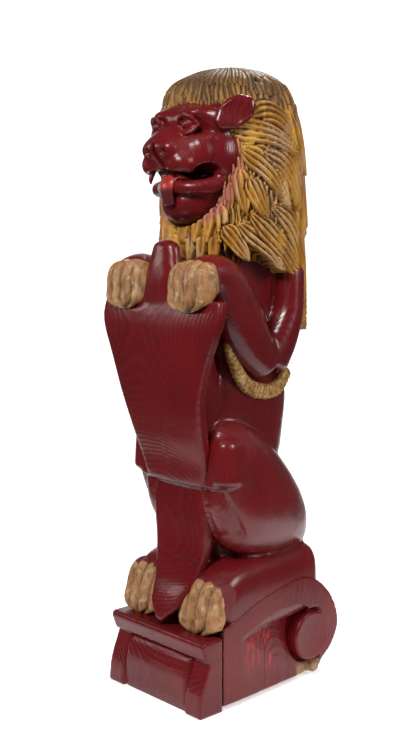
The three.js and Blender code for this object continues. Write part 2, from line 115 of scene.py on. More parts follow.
class Net:
    """A material's nodes. make() adds one node from its type, settings and inputs, and gives its output."""

    def __init__(self, name):
        self.material = bpy.data.materials.new(name)
        self.material.use_nodes = True
        self.tree = self.material.node_tree
        self.shader = self.tree.nodes["Principled BSDF"]
        self.object = self.make("ShaderNodeTexCoord", {}, {}, "Object")

    def feed(self, socket, value):
        if isinstance(value, Value):
            self.tree.links.new(value.socket, socket)
        else:
            socket.default_value = value

    def make(self, kind, settings, inputs, output=0):
        node = self.tree.nodes.new(kind)
        for key, value in settings.items():
            setattr(node, key, value)
        pairs = inputs.items() if isinstance(inputs, dict) else enumerate(inputs)
        for key, value in pairs:
            self.feed(node.inputs[key], value)
        return Value(self, node.outputs[output])

    def axes(self):
        split = self.tree.nodes.new("ShaderNodeSeparateXYZ")
        self.feed(split.inputs[0], self.object)
        return [Value(self, split.outputs[i]) for i in range(3)]

    def vector(self, x, y, z):
        return self.make("ShaderNodeCombineXYZ", {}, [x, y, z])

    def noise(self, scale, detail, vector=None, distortion=0.0):
        inputs = {"Vector": vector or self.object, "Scale": scale, "Detail": detail, "Distortion": distortion}
        return self.make("ShaderNodeTexNoise", {}, inputs, "Fac")

    def attribute(self, name):
        return self.make("ShaderNodeAttribute", {"attribute_name": name}, {}, "Fac")

    def mix(self, share, first, second):
        inputs = {0: share, 6: first, 7: second}
        return self.make("ShaderNodeMix", {"data_type": "RGBA"}, inputs, 2)

    def bump(self, height, distance, strength, normal=None):
        inputs = {"Height": height, "Distance": distance, "Strength": strength}
        if normal:
            inputs["Normal"] = normal
        return self.make("ShaderNodeBump", {}, inputs)

    def put(self, **inputs):
        for key, value in inputs.items():
            self.feed(self.shader.inputs[key.replace("_", " ")], value)
        return self.material


def rgb(red, green, blue):
    return (red, green, blue, 1.0)


# The paper lies flat from in front of the base to well behind it, then bends up into a wall
FLOOR_START = 1.1
FLOOR_LENGTH = 6.8
BEND_RADIUS = 2.0
PAPER_LENGTH = 13.5
FRONT_HALF_WIDTH = 0.75
WIDENING = 0.22
bm = bmesh.new()
bmesh.ops.create_grid(bm, x_segments=1, y_segments=60, size=1)
for vert in bm.verts:
    run = (vert.co.y + 1) / 2 * PAPER_LENGTH
    bend = max(0.0, run - FLOOR_LENGTH) / BEND_RADIUS
    turned = min(bend, math.pi / 2)
    rest = max(0.0, bend - math.pi / 2) * BEND_RADIUS
    across = vert.co.x * (FRONT_HALF_WIDTH + run * WIDENING)
    back = min(run, FLOOR_LENGTH) + BEND_RADIUS * math.sin(turned) - FLOOR_START
    vert.co = (across, back, BEND_RADIUS * (1 - math.cos(turned)) + rest)
sweep_mesh = bpy.data.meshes.new("studio_sweep")
bm.to_mesh(sweep_mesh)
bm.free()
sweep = bpy.data.objects.new("studio_sweep", sweep_mesh)
scene.collection.objects.link(sweep)
sweep.rotation_euler = (0, 0, math.radians(CAMERA_TURN))
for polygon in sweep_mesh.polygons:
    polygon.use_smooth = True
paper = Net("studio_paper")
paper_run = paper.axes()[1]
glow = paper.mix(paper_run.span(1.5, 6.0), rgb(0.55, 0.55, 0.55), rgb(1, 1, 1))
sweep_mesh.materials.append(
    paper.put(Base_Color=rgb(0.9, 0.9, 0.9), Roughness=0.8, Emission_Color=glow, Emission_Strength=0.9)
)


# The lion's body is one block glued up of upright pine planks, carved with gouges and painted a glossy maroon
# over raised grain. Trunk, arms, haunches and feet run into each other.
# Places are in centimetres, with heights above the ledge of the plinth.
LEDGE = 0.19
CENTIMETRE = 0.01
STEP_ALONG = 1e-3


def world_points(points):
    return np.asarray(points) * CENTIMETRE + (0, 0, LEDGE)


def catmull(rows, t):
    """Rows of values blended smoothly, with t running from 0 at the first row to 1 at the last."""
    rows = np.asarray(rows, float)
    rows = np.vstack([2 * rows[0] - rows[1], rows, 2 * rows[-1] - rows[-2]])
    count = len(rows) - 3
    at = np.clip(t, 0, 1) * count
    i = np.minimum(at.astype(int), count - 1)
    f = (at - i)[:, None]
    a, b, c, d = rows[i], rows[i + 1], rows[i + 2], rows[i + 3]
    return 0.5 * (2 * b + (c - a) * f + (2 * a - 5 * b + 4 * c - d) * f**2 + (3 * b - a - 3 * c + d) * f**3)


def heading(rows, t, part):
    """The unit direction of the curve through the chosen columns of the rows."""
    ahead = catmull(rows, np.minimum(t + STEP_ALONG, 1))[:, part]
    behind = catmull(rows, np.maximum(t - STEP_ALONG, 0))[:, part]
    run = ahead - behind
    return run / np.linalg.norm(run, axis=1)[:, None]


def domed(v, end):
    """How far along the stations a point lies, and its angle round the dome at each end."""
    t = np.clip((v - end) / (1 - 2 * end), 0, 1)
    first = np.clip((end - v) / end, 0, 1) * math.pi / 2
    last = np.clip((v - 1 + end) / end, 0, 1) * math.pi / 2
    return t, first, last


def squircle(angle, square):
    """A round that turns into a rounded square as the number grows from 2."""
    c, s = np.cos(angle), np.sin(angle)
    power = 2.0 / square
    return np.sign(c) * np.abs(c) ** power, np.sign(s) * np.abs(s) ** power


def wrapped(bm, around, along, place):
    """A grid bent into a closed skin: place(u, v) gives points in centimetres, u runs round and v along."""
    made = bmesh.ops.create_grid(bm, x_segments=around, y_segments=along, size=1)["verts"]
    flat = np.array([v.co[:2] for v in made])
    points = world_points(place((flat[:, 0] + 1) / 2, (flat[:, 1] + 1) / 2))
    for vert, point in zip(made, points):
        vert.co = point
    bmesh.ops.remove_doubles(bm, verts=made, dist=1e-5)


def limb(bm, stations, side=(1, 0, 0), around=36, along=40, dome=(0.5, 0.5)):
    """A limb through stations: x, y, z, half width toward the side, half depth, and how square it is."""
    stations = [list(s) + [2.0] * (6 - len(s)) for s in stations]
    side = np.array(side, float)

    def place(u, v):
        t, first, last = domed(v, 0.1)
        rows = catmull(stations, t)
        tangent = heading(stations, t, slice(0, 3))
        across = side - tangent * (tangent @ side)[:, None]
        across /= np.linalg.norm(across, axis=1)[:, None]
        out = np.cross(tangent, across)
        shrink = np.cos(first) * np.cos(last)
        small = np.minimum(rows[:, 3], rows[:, 4])
        push = (np.sin(last) * dome[1] - np.sin(first) * dome[0]) * small
        a, b = squircle(2 * math.pi * u, rows[:, 5])
        centre = rows[:, :3] + tangent * push[:, None]
        wide, deep = a * rows[:, 3] * shrink, b * rows[:, 4] * shrink
        return centre + across * wide[:, None] + out * deep[:, None]

    wrapped(bm, around, along, place)


def both(bm, stations, side=(1, 0, 0), **options):
    """A limb on the left and its mirror image on the right."""
    for sign in (1, -1):
        limb(bm, [[sign * s[0], *s[1:]] for s in stations], (sign * side[0], side[1], side[2]), **options)


def ball(bm, centre, radii):
    made = bmesh.ops.create_icosphere(bm, subdivisions=4, radius=1)["verts"]
    for vert in made:
        vert.co = world_points([c + n * r for c, n, r in zip(centre, vert.co, radii)])


def balls(bm, centre, radii):
    for sign in (1, -1):
        ball(bm, (sign * centre[0], *centre[1:]), radii)


def settle(obj):
    """The modifiers are made part of the mesh."""
    mesh = bpy.data.meshes.new_from_object(obj.evaluated_get(bpy.context.evaluated_depsgraph_get()))
    obj.modifiers.clear()
    obj.data = mesh


def piece(name, bm, material, voxel=None, smooth=0):
    mesh = bpy.data.meshes.new(name)
    bmesh.ops.recalc_face_normals(bm, faces=bm.faces)
    bm.to_mesh(mesh)
    bm.free()
    obj = bpy.data.objects.new(name, mesh)
    scene.collection.objects.link(obj)
    if voxel:
        skin = obj.modifiers.new("skin", "REMESH")
        skin.mode = "VOXEL"
        skin.voxel_size = voxel
    if smooth:
        soften = obj.modifiers.new("soften", "SMOOTH")
        soften.factor = 0.5
        soften.iterations = smooth
    if voxel or smooth:
        settle(obj)
    obj.data.materials.clear()
    obj.data.materials.append(material)
    for polygon in obj.data.polygons:
        polygon.use_smooth = True
    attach(obj, "root")
    return obj


RINGS_PER_METRE = 240.0
SPLIT_FADE = 0.006
BARE_FADE = 0.012
STROKE_FADE = 0.02
DARK_GRIME = (0.05, 0.006, 0.006)
INSIDE_SPLIT = (0.012, 0.004, 0.004)
FRESH_RED = (0.36, 0.012, 0.014)
BARE_DARK = (0.12, 0.06, 0.03)
BARE_LIGHT = (0.42, 0.27, 0.14)


def maroon_paint(
    name, pith=(0.0, 0.16), tilt=0.05, tint=1.0, splits=(), touched_up=None, bare=None, gloss=0.27
):
    """Gloss paint over raised grain. A split is an axis, a place on it, a half width and ranges.

    Brighter strokes of touching up and bare broken wood are each kept to ranges in y and z."""
    net = Net(name)
    x, y, z = net.axes()
    drift = net.noise(3.0, 2, net.vector(x, y, z * 0.5)) * 0.03
    fine = net.noise(60.0, 2, net.vector(x, y, z * 0.12))
    dx = x - pith[0] + z * tilt
    dy = y - pith[1] - z * 0.04
    radius = net.make("ShaderNodeMath", {"operation": "SQRT"}, [dx * dx + dy * dy]) + drift
    ring = (radius * RINGS_PER_METRE + fine * 0.7).math("FRACT")
    ridge = ring.span(0.35, 0.9) * ring.fall(0.9, 1.0)
    strokes = net.noise(160.0, 2, net.vector(x, y, z * 0.06))
    patches = net.noise(5.0, 4)
    grime = net.noise(14.0, 5, distortion=0.6).span(0.5, 0.75)
    deep, light = rgb(0.105 * tint, 0.004, 0.006), rgb(0.15 * tint, 0.007, 0.009)
    colour = net.mix(patches.span(0.3, 0.7), deep, light)
    colour = net.mix(ridge * 0.22, colour, rgb(0.19 * tint, 0.016, 0.018))
    colour = net.mix(grime * 0.25, colour, rgb(*DARK_GRIME))
    height = ridge * 0.7 + strokes * 0.35
    crack = 0.0
    place = {"x": x, "y": y, "z": z}
    for axis, at, half, ranges in splits:
        waver = (net.noise(11.0, 3) - 0.5) * 0.012 + (net.noise(70.0, 3) - 0.5) * 0.004
        near = (place[axis] - at + waver).math("ABSOLUTE").fall(half * 0.4, half)
        for way, (start, stop) in ranges.items():
            near = near * place[way].between(start, stop, SPLIT_FADE)
        crack = crack + near
    if touched_up:
        (y_from, y_to), (z_from, z_to) = touched_up
        dashes = net.noise(95.0, 3, net.vector(x, y, z * 0.22)).span(0.52, 0.6)
        within = y.between(y_from, y_to, STROKE_FADE) * z.between(z_from, z_to, STROKE_FADE)
        within = within * x.span(0.08, 0.1)
        colour = net.mix(dashes * within * 0.8, colour, rgb(*FRESH_RED))
    if bare:
        (y_from, y_to), (z_from, z_to) = bare
        torn = (net.noise(45.0, 3) - 0.5) * 0.05
        within = (y + torn).between(y_from, y_to, BARE_FADE) * (z + torn * 0.5).fall(z_from, z_to)
        colour = net.mix(within, colour, net.mix(strokes, rgb(*BARE_DARK), rgb(*BARE_LIGHT)))
        height = height + within * net.noise(70.0, 4) * 6.0
    if splits:
        colour = net.mix(crack.math("MINIMUM", 1.0) * 0.9, colour, rgb(*INSIDE_SPLIT))
        height = height - crack * 2.5
    normal = net.bump(height, 0.0007, 0.5)
    normal = net.bump(patches, 0.006, 0.3, normal)
    rough = 0.2 + strokes * 0.1 + grime * 0.14
    return net.put(
        Base_Color=colour,
        Roughness=rough,
        Normal=normal,
        Coat_Weight=0.06,
        Coat_Roughness=0.1,
        Specular_IOR_Level=gloss,
    )


figure_paint = maroon_paint("maroon_figure", splits=[("z", 0.558, 0.0022, {"y": (-0.3, -0.15)})], gloss=0.4)

bm = bmesh.new()
limb(
    bm,
    [
        (0, 4, -2, 10.5, 13, 2.8),
        (0, 4, 12, 10.5, 13, 2.8),
        (0, 2.4, 28, 11, 13.6, 2.8),
        (0, -2.4, 42, 13, 15.6, 3),
        (0, -1.2, 58, 13.6, 15.8, 3),
        (0, 0.4, 66, 12.8, 14.8, 2.8),
        (0, 2.8, 76, 11.8, 14.4, 2.6),
        (0, 3.2, 98, 12.4, 14.4, 2.4),
    ],
    around=80,
    along=80,
    dome=(0, 0),
)
limb(
    bm,
    [
        (0, -13.0, 10, 5.5, 4, 3),
        (0, -11.0, 30, 8.4, 4, 3),
        (0, -12.0, 42, 10.4, 4.8, 3),
        (0, -14.8, 56, 11.6, 6, 3),
        (0, -16.8, 68, 11, 6, 3),
    ],
    around=60,
    along=60,
    dome=(0.2, 0.5),
)
both(
    bm,
    [
        (13.8, 9.4, 90, 3.8, 3.8),
        (14.2, 8.4, 80, 4.1, 4.0),
        (14.0, 5.8, 73, 4.3, 4.8),
        (13.6, 2.8, 67.4, 4.2, 5.2),
    ],
)
both(
    bm,
    [
        (13.6, 0.4, 67.2, 4.3, 5.2),
        (14.1, -4.4, 71.6, 4.6, 6.1),
        (14.2, -8.8, 78.6, 4.8, 6.6),
        (14.0, -12.6, 85.6, 5.0, 6.0),
        (13.4, -16.6, 89.4, 5.4, 5.0),
        (12.4, -20.6, 89.4, 6.4, 4.4),
    ],
)
HAUNCH_MIDDLE = (9.9, 0.5, 33)
HAUNCH_DEPTH = 9.3
HAUNCH_LEAN = 0.09
HAUNCH_EDGE = [
    (-17.6, 42.0),
    (-17.2, 47.4),
    (-14.8, 52.0),
    (-10.0, 53.3),
    (-5.0, 52.1),
    (1.0, 48.6),
    (7.1, 42.9),
    (13.0, 36.4),
    (17.8, 29.6),
    (20.4, 22.0),
    (18.0, 15.6),
    (8.0, 14.4),
    (-3.5, 17.0),
    (-9.3, 19.6),
    (-13.8, 23.9),
    (-16.4, 29.6),
    (-17.5, 36.0),
    (-17.6, 42.0),
]


def haunch_skin(u, v):
    """An egg with HAUNCH_EDGE as its outline from the side, leaning outward toward the knee."""
    edge_y, edge_z = catmull(HAUNCH_EDGE, u).T
    depth, reach = squircle(math.pi * v, 2.1)
    y = HAUNCH_MIDDLE[1] + (edge_y - HAUNCH_MIDDLE[1]) * reach
    z = HAUNCH_MIDDLE[2] + (edge_z - HAUNCH_MIDDLE[2]) * reach
    return np.column_stack([HAUNCH_MIDDLE[0] + depth * HAUNCH_DEPTH - HAUNCH_LEAN * y, y, z])


for sign in (1, -1):
    wrapped(bm, 120, 80, lambda u, v: haunch_skin(u, v) * (sign, 1, 1))
KNEE_BLOCK = [(14.5, -13.4, 38.4, 4.0, 4.2, 2.6), (14.3, -13.2, 46.8, 3.8, 4.2, 2.4)]
both(bm, KNEE_BLOCK, dome=(0.4, 0.8))
both(
    bm,
    [
        (9.8, 17.2, 7.8, 7.4, 9.4, 3.6),
        (9.9, 8.0, 7.4, 7.8, 9.6, 3.6),
        (10.0, -2.0, 7.0, 7.8, 9.8, 3.6),
        (10.1, -10.0, 6.4, 7.7, 9.6, 3.4),
        (10.3, -15.0, 5.2, 7.4, 7.8, 3),
    ],
    around=64,
    dome=(0.25, 0.3),
)
body = piece("lion_body", bm, figure_paint, voxel=0.0048, smooth=7)

# Under the knee the thigh's edge stands proud of the shin: the edge runs back level, then down and back.
KNEE_FOLD = np.array([(-15.6, 36.7), (-9.2, 24.8)])
FOLD_DEPTH = 0.012
FOLD_EDGE = 0.4
SHIN_FADE = 8
SHIN_INNER_SIDE = 0.1
SHIN_BACK = -0.04
SHIN_FOOT = -17
SHIN_TOP = 2
fold_run = KNEE_FOLD[1] - KNEE_FOLD[0]
fold_length = np.linalg.norm(fold_run)
fold_run = fold_run / fold_length
outward = [vert.normal.copy() for vert in body.data.vertices]
for vert, normal in zip(body.data.vertices, outward):
    place = np.array([vert.co.y, vert.co.z - LEDGE]) / CENTIMETRE - KNEE_FOLD[0]
    if abs(vert.co.x) > SHIN_INNER_SIDE and vert.co.y < SHIN_BACK and SHIN_FOOT < place[1] < SHIN_TOP:
        run = place @ fold_run
        under = -place[1] if run < 0 else place[0] * fold_run[1] - place[1] * fold_run[0]
        shin = min(max(under / FOLD_EDGE, 0), 1) * min(max(1.2 - under / SHIN_FADE, 0), 1)
        shin *= min(max((fold_length * 1.15 - run) / 3, 0), 1)
        vert.co -= normal * shin * FOLD_DEPTH
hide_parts("lion")

# A fringe of gilded hair is carved on each flank in the same wood, in an arc under the forearm. Its outer
# edge is notched into tufts.
TUFTS = 26
SLANT = 0.35
FRINGE = [
    (13.4, -12.6, 73.4, 0.9, 1.3),
    (13.6, -9.6, 66.4, 1.1, 1.7),
    (13.8, -5.9, 61.7, 1.2, 1.9),
    (13.9, -0.4, 59.7, 1.2, 1.9),
    (13.8, 5.1, 60.4, 1.2, 1.9),
    (13.2, 9.8, 64.6, 1.0, 1.4),
]
fringe_net = Net("gilded_fringe")
tufts = fringe_net.noise(110.0, 3)
rubs = fringe_net.noise(26.0, 4)
fringe_gold = fringe_net.mix(rubs.span(0.35, 0.65), rgb(0.4, 0.2, 0.035), rgb(0.55, 0.33, 0.12))
fringe_gold = fringe_net.mix(tufts.span(0.45, 0.6) * 0.75, fringe_gold, rgb(0.14, 0.055, 0.025))
fringe_paint = fringe_net.put(
    Base_Color=fringe_gold, Roughness=0.5, Metallic=0.15, Normal=fringe_net.bump(tufts + rubs, 0.0022, 0.8)
)


def fringe_skin(u, v):
    x, y, z, thick, wide = catmull(FRINGE, v).T
    ty, tz = heading(FRINGE, v, slice(1, 3)).T
    a, b = squircle(2 * math.pi * u, 2.4)
    tuft = v * TUFTS + SLANT * b
    notch = tuft % 1.0
    shrink = np.sqrt(np.clip(np.minimum(v, 1 - v) / 0.03, 0, 1))
    out = b * wide * (1 + 0.3 * (notch - 0.5) * (b > 0)) * shrink
    strokes = 0.16 * np.abs(np.sin(tuft * math.pi)) * np.abs(a)
    return np.column_stack([x + a * (thick + strokes) * shrink, y + tz * out, z - ty * out])


bm = bmesh.new()
for sign in (1, -1):
    wrapped(bm, 36, 300, lambda u, v: fringe_skin(u, v) * (sign, 1, 1))
piece("flank_fringe", bm, fringe_paint)

# A long shield under the forepaws is carved from the same glued planks and painted the same maroon. Its face
# is hollowed a little, the grain stands out in arches, and a few fine splits run across and down it.
SHIELD_HALF_THICKNESS = 1.7
SHIELD_HOLLOW = 0.05
SHIELD_TONGUE = 2.0
SHIELD_FACE = [
    (1.6, 23.6, 2.2),
    (4.6, 22.4, 5),
    (5.8, 20.8, 8),
    (7.6, 18.4, 12),
    (9.2, 16.6, 20),
    (10.0, 16.6, 30),
    (9.8, 16.4, 34.5),
    (9.9, 16.5, 36.1),
    (10.8, 17.9, 37),
    (12.2, 19.2, 43),
    (13.2, 21.4, 50),
    (14.8, 23.6, 59),
    (17.2, 24.3, 67),
    (20.6, 24.3, 75),
    (21.8, 23.8, 79),
    (21.6, 22.8, 83.4),
]


def shield_skin(u, v):
    end = 0.04
    t = np.clip((v - end) / (1 - 2 * end), 0, 1)
    half, forward, height = catmull(SHIELD_FACE, t).T
    close = np.sqrt(np.clip(v / end, 0, 1) * np.clip((1 - v) / end, 0, 1))
    a, b = squircle(2 * math.pi * u, 9.0)
    face = np.clip(-b, 0, 1)
    hollow = SHIELD_HOLLOW * half * (1 - a**2) * face
    y = -forward + SHIELD_HALF_THICKNESS + (b * SHIELD_HALF_THICKNESS - hollow) * close
    drop = np.where(v < end, (1 - np.clip(v / end, 0, 1)) * SHIELD_TONGUE, 0)
    return np.column_stack([a * half * np.where(v < end, v / end, 1), y, height - drop])


bm = bmesh.new()
wrapped(bm, 160, 220, shield_skin)
limb(
    bm,
    [
        (0, -21.6, 80, 7.6, 2.6, 2.6),
        (0, -21.3, 88, 6.2, 2.6, 2.4),
        (0, -20.4, 95.8, 4.2, 2.3, 2.2),
    ],
    around=60,
    along=60,
    dome=(0, 0.9),
)
shield_paint = maroon_paint(
    "maroon_shield",
    splits=[
        ("z", 0.556, 0.002, {"x": (-0.12, 0.13)}),
        ("x", 0.002, 0.0012, {"z": (0.56, 0.67)}),
        ("z", 0.362, 0.0012, {"x": (-0.02, 0.078)}),
    ],
)
piece("lion_shield", bm, shield_paint, voxel=0.0045, smooth=4)


# Forepaws hang over the shield's top and hind paws over the ledge, four toes each, carved in the same wood.
# They are a dull tan, much rubbed, and end in worn points; the maroon starts in a ragged line at the wrist.
FORE_PAINT_EDGE = -0.209
HIND_PAINT_EDGE = -0.172
FULL_CREASE_SHADE = 0.0008


def paw_material(name, edge):
    net = Net(name)
    x, y, z = net.axes()
    blotch = net.noise(24.0, 5, distortion=0.5)
    scratch = net.noise(120.0, 3, net.vector(x, y, z * 0.25))
    pits = net.noise(260.0, 2)
    tan = net.mix(blotch.span(0.35, 0.68), rgb(0.34, 0.145, 0.045), rgb(0.44, 0.25, 0.11))
    tan = net.mix(scratch.span(0.46, 0.64) * 0.7, tan, rgb(0.17, 0.07, 0.025))
    tan = net.mix(net.noise(60.0, 4).span(0.58, 0.66) * 0.5, tan, rgb(0.6, 0.42, 0.26))
    tan = net.mix(pits.span(0.62, 0.75) * 0.5, tan, rgb(0.12, 0.05, 0.025))
    # Painted shade: the creases between the toes are darkened to a near black brown.
    tan = net.mix(net.attribute("crease_shade"), tan, rgb(0.06, 0.025, 0.014))
    reach = y + (scratch - 0.5) * 0.014 + (blotch - 0.5) * 0.01
    tan = net.mix(reach.span(edge - 0.0006, edge + 0.0006), tan, rgb(0.13, 0.006, 0.008))
    height = scratch * 0.8 + pits * 0.4 + blotch
    return net.put(Base_Color=tan, Roughness=0.55 + blotch * 0.2, Normal=net.bump(height, 0.004, 0.9))


def paw(bm, middle, stations, toes_from, furrow):
    """A mitten bent over an edge, its outer face and its end parted into four toes.

    The stations are y, z, half width and half thickness."""

    def place(u, v):
        t, first, last = domed(v, 0.12)
        y, z, half, out = catmull(stations, t).T
        ty, tz = heading(stations, t, slice(0, 2)).T
        shrink = np.cos(first) * np.cos(last)
        a, b = squircle(2 * math.pi * u, 3.0)
        toe = np.abs(np.sin(2 * math.pi * (a + 1))) ** 0.7
        parted = np.clip((t - toes_from) / 0.35, 0, 1) ** 1.5 * np.clip(b + 0.4, 0, 1)
        knuckle = 0.5 * np.sin((t - 0.16) * 9.4) * toe * (b > 0)
        rise = out * b * shrink - furrow * (1 - toe) * parted * shrink + knuckle * shrink
        push = np.sin(last) * (0.1 + 2.5 * toe) - np.sin(first) * 0.4
        back = 0.8 * a**2
        return np.column_stack(
            [middle + a * half * shrink, y + ty * push + tz * rise + back, z + tz * push - ty * rise]
        )

    wrapped(bm, 240, 110, place)


def crease_shade_attribute(obj):
    """How deep each point lies below its neighbourhood, from 0 to 1: painted shade for the creases."""
    mesh = obj.data
    count = len(mesh.vertices)
    co = np.empty(count * 3)
    mesh.vertices.foreach_get("co", co)
    co = co.reshape(-1, 3)
    normal = np.empty(count * 3)
    mesh.vertices.foreach_get("normal", normal)
    normal = normal.reshape(-1, 3)
    edges = np.empty(len(mesh.edges) * 2, int)
    mesh.edges.foreach_get("vertices", edges)
    edges = edges.reshape(-1, 2)
    degree = np.bincount(edges.ravel(), minlength=count)[:, None]
    mean = co
    for _ in range(3):
        total = np.zeros_like(co)
        for axis in range(3):
            total[:, axis] = np.bincount(edges[:, 0], mean[edges[:, 1], axis], count)
            total[:, axis] += np.bincount(edges[:, 1], mean[edges[:, 0], axis], count)
        mean = total / np.maximum(degree, 1)
    depth = ((mean - co) * normal).sum(axis=1)
    layer = mesh.attributes.new("crease_shade", "FLOAT", "POINT")
    layer.data.foreach_set("value", np.clip(depth / FULL_CREASE_SHADE, 0, 1))


HIND_MIDDLE = {"left": 10.3, "right": -11.6}
fore_paint = paw_material("rubbed_forepaws", FORE_PAINT_EDGE)
hind_paint = paw_material("rubbed_hind_paws", HIND_PAINT_EDGE)
for label, sign in (("left", 1), ("right", -1)):
    bm = bmesh.new()
    paw(
        bm,
        sign * 11.9,
        [
            (-18.4, 88.2, 5.0, 3.2),
            (-21.1, 88.4, 7.2, 4.4),
            (-23.1, 86.8, 7.6, 3.8),
            (-24.1, 84.4, 7.4, 2.8),
            (-24.2, 82.9, 6.9, 1.9),
        ],
        0.3,
        2.1,
    )
    forepaw = piece(label + "_forepaw", bm, fore_paint, voxel=0.0024, smooth=2)
    crease_shade_attribute(forepaw)
    bm = bmesh.new()
    paw(
        bm,
        HIND_MIDDLE[label],
        [
            (-11.5, 9.6, 6.8, 3.6),
            (-14.6, 9.2, 7.4, 4.1),
            (-17.2, 7.0, 7.5, 3.8),
            (-18.8, 4.0, 7.5, 3.0),
            (-19.2, 1.9, 7.1, 2.0),
        ],
        0.15,
        1.5,
    )
    hind_paw = piece(label + "_hind_paw", bm, hind_paint, voxel=0.0024, smooth=2)
    crease_shade_attribute(hind_paw)


# The face stands out of the mane, carved in the same wood and painted maroon. It has lidded eyes, two muzzle
# pads, a flat nose, and a wide open mouth with lips and a fang.
FARTHEST = 30.0
HALVINGS = 14


def blend(bm, middle, solids, hollows=(), soft=0.8):
    """One smooth skin over stretched balls, found by halving along rays from a middle point."""

    def depth(points, items):
        total = np.zeros(len(points))
        for centre, radii in items:
            radii = np.array(radii, float)
            scaled = np.linalg.norm((points - centre) / radii, axis=1)
            total += np.exp(-np.clip((scaled - 1) * radii.min() / soft, -60, 60))
        return -soft * np.log(total + 1e-30)

    def place(u, v):
        height = -np.cos(math.pi * v)
        flat_part = np.sin(math.pi * v)
        turn = 2 * math.pi * u
        ray = np.column_stack([flat_part * np.cos(turn), height, flat_part * np.sin(turn)])
        near, far = np.zeros(len(u)), np.full(len(u), FARTHEST)
        for _ in range(HALVINGS):
            half = (near + far) / 2
            points = np.array(middle) + ray * half[:, None]
            inside = depth(points, solids)
            if hollows:
                inside = np.maximum(inside, -depth(points, hollows))
            far = np.where(inside > 0, half, far)
            near = np.where(inside > 0, near, half)
        return np.array(middle) + ray * near[:, None]

    wrapped(bm, 220, 160, place)


def sides(*items):
    return [((sign * c[0], c[1], c[2]), r) for c, r in items for sign in (1, -1)]


brow_split = ("y", -0.156, 0.0012, {"x": (0.06, 0.2), "z": (1.345, 1.415)})
head_paint = maroon_paint("maroon_head", splits=[brow_split])

bm = bmesh.new()
blend(
    bm,
    (0, -8, 121),
    [
        ((0, -4.0, 121.2), (13.6, 13.0, 11.4)),
        ((0, -10.0, 127.2), (11.0, 8.2, 5.0)),
        ((0, -14.2, 119.4), (9.0, 9.4, 5.2)),
        ((0, -17.4, 123.2), (4.6, 4.8, 2.7)),
        ((0, -20.6, 121.6), (4.6, 3.2, 2.3)),
        ((0, -22.6, 120.2), (4.2, 2.0, 2.1)),
        *sides(
            ((5.0, -15.4, 128.3), (3.6, 3.2, 1.6)),
            ((3.1, -22.5, 119.5), (2.2, 2.0, 1.9)),
            ((4.5, -19.2, 116.2), (4.0, 4.0, 3.3)),
            ((8.0, -17.0, 120.6), (1.3, 1.2, 1.1)),
            ((9.8, -14.4, 122.2), (1.3, 1.2, 1.1)),
            ((7.8, -15.4, 118.4), (3.2, 3.3, 4.2)),
            ((9.8, -9.2, 118.6), (3.9, 6.2, 6.2)),
            ((10.0, -5.6, 112.5), (3.9, 5.0, 6.6)),
            ((7.2, -16.4, 122.0), (2.0, 1.7, 1.3)),
            ((9.4, -11.2, 126.6), (3.4, 4.0, 4.4)),
        ),
    ],
    sides(
        ((5.4, -20.7, 125.5), (2.4, 2.3, 2.0)),
        ((2.8, -24.9, 118.9), (1.2, 1.8, 0.9)),
        ((0.0, -23.8, 116.8), (0.3, 1.8, 2.2)),
    ),
    soft=0.45,
)
blend(
    bm,
    (0, -7, 108.5),
    [
        ((0, -13.4, 106.4), (6.8, 6.0, 5.0)),
        ((0, -8.6, 109.0), (9.6, 8.4, 4.6)),
        ((0, -2, 110.5), (12.2, 11, 12.5)),
    ],
)
skull = piece("lion_head", bm, figure_paint, voxel=0.0028, smooth=4)

bm = bmesh.new()
ball(bm, (0, -16.8, 113.8), (7.6, 8.8, 1.3))
mouth_front = piece("mouth_front", bm, figure_paint)
bm = bmesh.new()
limb(bm, [(-13, -15.6, 114.4, 2.7, 1.9), (13, -15.6, 114.4, 2.7, 1.9)], side=(0, 1, 0), dome=(0, 0))
mouth_side = piece("mouth_side", bm, figure_paint)
for hollow in (mouth_front, mouth_side):
    cut = skull.modifiers.new("mouth", "BOOLEAN")
    cut.operation = "DIFFERENCE"
    cut.object = hollow
    settle(skull)
    bpy.data.objects.remove(hollow)

bm = bmesh.new()
bm.from_mesh(skull.data)
bpy.data.objects.remove(skull)
balls(bm, (5.4, -17.5, 125.5), (2.1, 2.1, 1.9))
balls(bm, (5.6, -19.45, 125.5), (0.8, 0.4, 0.8))
INNER_CORNER = (3.0, -18.8, 125.3)
OUTER_CORNER = (8.2, -17.2, 125.3)
for lid in (
    [(3.9, -19.6, 126.9), (5.5, -19.7, 127.6), (7.2, -18.7, 127.0)],
    [(4.0, -19.4, 123.8), (5.6, -19.4, 123.3), (7.2, -18.5, 123.8)],
):
    edge = [(*point, 0.5, 0.5) for point in (INNER_CORNER, *lid, OUTER_CORNER)]
    both(bm, edge, side=(0, 0, 1), around=16, along=40)
both(
    bm,
    [
        (7.8, -17.4, 117.0, 1.0, 1.0),
        (8.8, -14.4, 117.8, 1.3, 1.3),
        (9.6, -11.8, 116.8, 1.6, 1.6),
        (9.9, -10.9, 114.2, 1.9, 1.9),
        (9.5, -11.9, 111.8, 2.0, 2.0),
        (8.2, -14.8, 110.6, 2.0, 2.0),
        (6.0, -17.4, 110.4, 1.9, 1.9),
        (3.0, -18.8, 110.6, 1.8, 1.8),
        (-0.4, -19.2, 110.8, 1.8, 1.8),
    ],
    side=(0, 0, 1),
    along=80,
)
limb(
    bm,
    [
        (-4.6, -20.6, 114.8, 0.8, 0.8),
        (-4.6, -21.4, 112.8, 0.6, 0.6),
        (-4.4, -21.6, 111.4, 0.25, 0.25),
    ],
    around=16,
    along=16,
)
piece("lion_head", bm, head_paint, voxel=0.0026, smooth=2)

